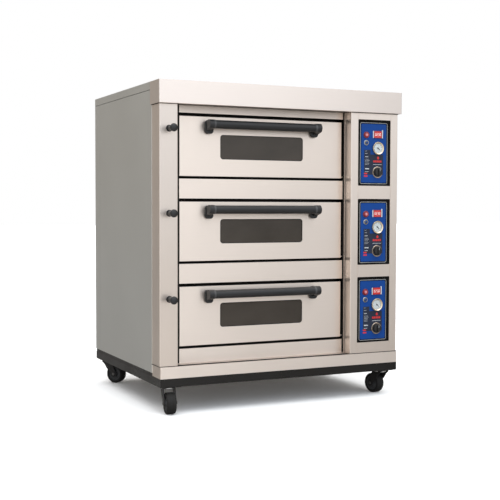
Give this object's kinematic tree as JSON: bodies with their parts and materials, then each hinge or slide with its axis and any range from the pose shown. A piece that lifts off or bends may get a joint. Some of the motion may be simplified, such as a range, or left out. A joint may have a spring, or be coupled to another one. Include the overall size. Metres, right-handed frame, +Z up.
{
  "type": "deck oven",
  "caption": "Free-standing bakery deck oven with stacked drop-down doors, a control column, damper knobs, a front hood and swivel casters.",
  "frame": {"origin": "middle of the footprint on the floor, at the bottom of the caster wheels", "axes": "+X to the right seen from the front, +Y to the back, +Z up; the doors face -Y"},
  "size_m": [1.237, 1.054, 1.46],
  "materials": {
    "champagne_steel": "finely brushed, warm champagne tone",
    "satin_steel": "satin",
    "galvanised_steel": "dull galvanised",
    "black_frame": "satin black paint",
    "liner_steel": "dull, heat-toned",
    "hearth_stone": "matt",
    "element_steel": "oxidised",
    "window_glass": "smoked, glossy",
    "black_plastic": "satin black",
    "blue_face": "satin blue print on a black frame",
    "needle_red": "painted",
    "red_lens": "translucent red, glossy",
    "pale_cap": "chromed",
    "fork_steel": "black paint",
    "wheel_rubber": "matt"
  },
  "bodies": {
    "oven_body": {"base_frame": "black_frame", "left_side_panel": "satin_steel", "right_side_panel": "satin_steel", "back_panel": "galvanised_steel", "top_cover": "satin_steel", "front_hood": "champagne_steel", "bottom_skirt": "champagne_steel", "left_column": "champagne_steel", "control_column": "champagne_steel", "door_surround": "champagne_steel", "chamber_1": "liner_steel", "hearth_1": "hearth_stone", "upper_element_1": "element_steel", "lower_element_1": "element_steel", "chamber_2": "liner_steel", "hearth_2": "hearth_stone", "upper_element_2": "element_steel", "lower_element_2": "element_steel", "chamber_3": "liner_steel", "hearth_3": "hearth_stone", "upper_element_3": "element_steel", "lower_element_3": "element_steel", "control_panel_1": "blue_face", "control_panel_2": "blue_face", "control_panel_3": "blue_face"},
    "door_1": {"door_1_outer_panel": "champagne_steel", "door_1_inner_panel": "liner_steel", "door_1_glass": "window_glass", "handle_1": "black_plastic"},
    "door_2": {"door_2_outer_panel": "champagne_steel", "door_2_inner_panel": "liner_steel", "door_2_glass": "window_glass", "handle_2": "black_plastic"},
    "door_3": {"door_3_outer_panel": "champagne_steel", "door_3_inner_panel": "liner_steel", "door_3_glass": "window_glass", "handle_3": "black_plastic"},
    "gauge_needle_1": {"gauge_needle_1": "needle_red"},
    "thermostat_knob_1": {"thermostat_knob_1": "black_plastic"},
    "power_button_1": {"power_button_1": "red_lens"},
    "light_switch_1": {"light_switch_1": "pale_cap"},
    "gauge_needle_2": {"gauge_needle_2": "needle_red"},
    "thermostat_knob_2": {"thermostat_knob_2": "black_plastic"},
    "power_button_2": {"power_button_2": "red_lens"},
    "light_switch_2": {"light_switch_2": "pale_cap"},
    "gauge_needle_3": {"gauge_needle_3": "needle_red"},
    "thermostat_knob_3": {"thermostat_knob_3": "black_plastic"},
    "power_button_3": {"power_button_3": "red_lens"},
    "light_switch_3": {"light_switch_3": "pale_cap"},
    "damper_rod_1": {"damper_rod_1": "black_plastic"},
    "damper_rod_2": {"damper_rod_2": "black_plastic"},
    "damper_rod_3": {"damper_rod_3": "black_plastic"},
    "caster_fork_front_left": {"caster_fork_front_left": "fork_steel"},
    "caster_wheel_front_left": {"caster_wheel_front_left": "wheel_rubber"},
    "caster_fork_front_right": {"caster_fork_front_right": "fork_steel"},
    "caster_wheel_front_right": {"caster_wheel_front_right": "wheel_rubber"},
    "caster_fork_rear_left": {"caster_fork_rear_left": "fork_steel"},
    "caster_wheel_rear_left": {"caster_wheel_rear_left": "wheel_rubber"},
    "caster_fork_rear_right": {"caster_fork_rear_right": "fork_steel"},
    "caster_wheel_rear_right": {"caster_wheel_rear_right": "wheel_rubber"}
  },
  "joints": [
    {"name": "door_1_hinge", "type": "hinge", "parent": "oven_body", "child": "door_1", "pos_m": [-0.08, -0.393, 1.052], "axis": [1, 0, 0], "range_deg": [0, 90]},
    {"name": "door_2_hinge", "type": "hinge", "parent": "oven_body", "child": "door_2", "pos_m": [-0.08, -0.393, 0.673], "axis": [1, 0, 0], "range_deg": [0, 90]},
    {"name": "door_3_hinge", "type": "hinge", "parent": "oven_body", "child": "door_3", "pos_m": [-0.08, -0.393, 0.294], "axis": [1, 0, 0], "range_deg": [0, 90]},
    {"name": "gauge_needle_1_pivot", "type": "hinge", "parent": "oven_body", "child": "gauge_needle_1", "pos_m": [0.4975, -0.465, 1.19], "axis": [0, 1, 0], "range_deg": [-260, 0], "stiffness_Nm_per_rad": 0.002},
    {"name": "thermostat_knob_1_turn", "type": "hinge", "parent": "oven_body", "child": "thermostat_knob_1", "pos_m": [0.4975, -0.471, 1.076], "axis": [0, 1, 0], "range_deg": [0, 300]},
    {"name": "power_button_1_press", "type": "slide", "parent": "oven_body", "child": "power_button_1", "axis": [0, 1, 0], "range_m": [0, 0.003], "stiffness_N_per_m": 500},
    {"name": "light_switch_1_press", "type": "slide", "parent": "oven_body", "child": "light_switch_1", "axis": [0, 1, 0], "range_m": [0, 0.003], "stiffness_N_per_m": 400},
    {"name": "gauge_needle_2_pivot", "type": "hinge", "parent": "oven_body", "child": "gauge_needle_2", "pos_m": [0.4975, -0.465, 0.8135], "axis": [0, 1, 0], "range_deg": [-260, 0], "stiffness_Nm_per_rad": 0.002},
    {"name": "thermostat_knob_2_turn", "type": "hinge", "parent": "oven_body", "child": "thermostat_knob_2", "pos_m": [0.4975, -0.471, 0.6995], "axis": [0, 1, 0], "range_deg": [0, 300]},
    {"name": "power_button_2_press", "type": "slide", "parent": "oven_body", "child": "power_button_2", "axis": [0, 1, 0], "range_m": [0, 0.003], "stiffness_N_per_m": 500},
    {"name": "light_switch_2_press", "type": "slide", "parent": "oven_body", "child": "light_switch_2", "axis": [0, 1, 0], "range_m": [0, 0.003], "stiffness_N_per_m": 400},
    {"name": "gauge_needle_3_pivot", "type": "hinge", "parent": "oven_body", "child": "gauge_needle_3", "pos_m": [0.4975, -0.465, 0.441], "axis": [0, 1, 0], "range_deg": [-260, 0], "stiffness_Nm_per_rad": 0.002},
    {"name": "thermostat_knob_3_turn", "type": "hinge", "parent": "oven_body", "child": "thermostat_knob_3", "pos_m": [0.4975, -0.471, 0.327], "axis": [0, 1, 0], "range_deg": [0, 300]},
    {"name": "power_button_3_press", "type": "slide", "parent": "oven_body", "child": "power_button_3", "axis": [0, 1, 0], "range_m": [0, 0.003], "stiffness_N_per_m": 500},
    {"name": "light_switch_3_press", "type": "slide", "parent": "oven_body", "child": "light_switch_3", "axis": [0, 1, 0], "range_m": [0, 0.003], "stiffness_N_per_m": 400},
    {"name": "damper_rod_1_pull", "type": "slide", "parent": "oven_body", "child": "damper_rod_1", "axis": [0, -1, 0], "range_m": [0, 0.05]},
    {"name": "damper_rod_2_pull", "type": "slide", "parent": "oven_body", "child": "damper_rod_2", "axis": [0, -1, 0], "range_m": [0, 0.05]},
    {"name": "damper_rod_3_pull", "type": "slide", "parent": "oven_body", "child": "damper_rod_3", "axis": [0, -1, 0], "range_m": [0, 0.05]},
    {"name": "caster_front_left_swivel", "type": "hinge", "parent": "oven_body", "child": "caster_fork_front_left", "pos_m": [-0.553, -0.411, 0.11], "axis": [0, 0, 1], "continuous": true},
    {"name": "caster_front_left_roll", "type": "hinge", "parent": "caster_fork_front_left", "child": "caster_wheel_front_left", "pos_m": [-0.55857, -0.45061, 0.04759], "axis": [0.9903, -0.1392, 0], "continuous": true},
    {"name": "caster_front_right_swivel", "type": "hinge", "parent": "oven_body", "child": "caster_fork_front_right", "pos_m": [0.553, -0.411, 0.11], "axis": [0, 0, 1], "continuous": true},
    {"name": "caster_front_right_roll", "type": "hinge", "parent": "caster_fork_front_right", "child": "caster_wheel_front_right", "pos_m": [0.54468, -0.37187, 0.04759], "axis": [-0.9781, -0.2079, 0], "continuous": true},
    {"name": "caster_rear_left_swivel", "type": "hinge", "parent": "oven_body", "child": "caster_fork_rear_left", "pos_m": [-0.553, 0.439, 0.11], "axis": [0, 0, 1], "continuous": true},
    {"name": "caster_rear_left_roll", "type": "hinge", "parent": "caster_fork_rear_left", "child": "caster_wheel_rear_left", "pos_m": [-0.52837, 0.40748, 0.04759], "axis": [0.788, 0.6157, 0], "continuous": true},
    {"name": "caster_rear_right_swivel", "type": "hinge", "parent": "oven_body", "child": "caster_fork_rear_right", "pos_m": [0.553, 0.439, 0.11], "axis": [0, 0, 1], "continuous": true},
    {"name": "caster_rear_right_roll", "type": "hinge", "parent": "caster_fork_rear_right", "child": "caster_wheel_rear_right", "pos_m": [0.51836, 0.419, 0.04759], "axis": [0.5, -0.866, 0], "continuous": true}
  ]
}
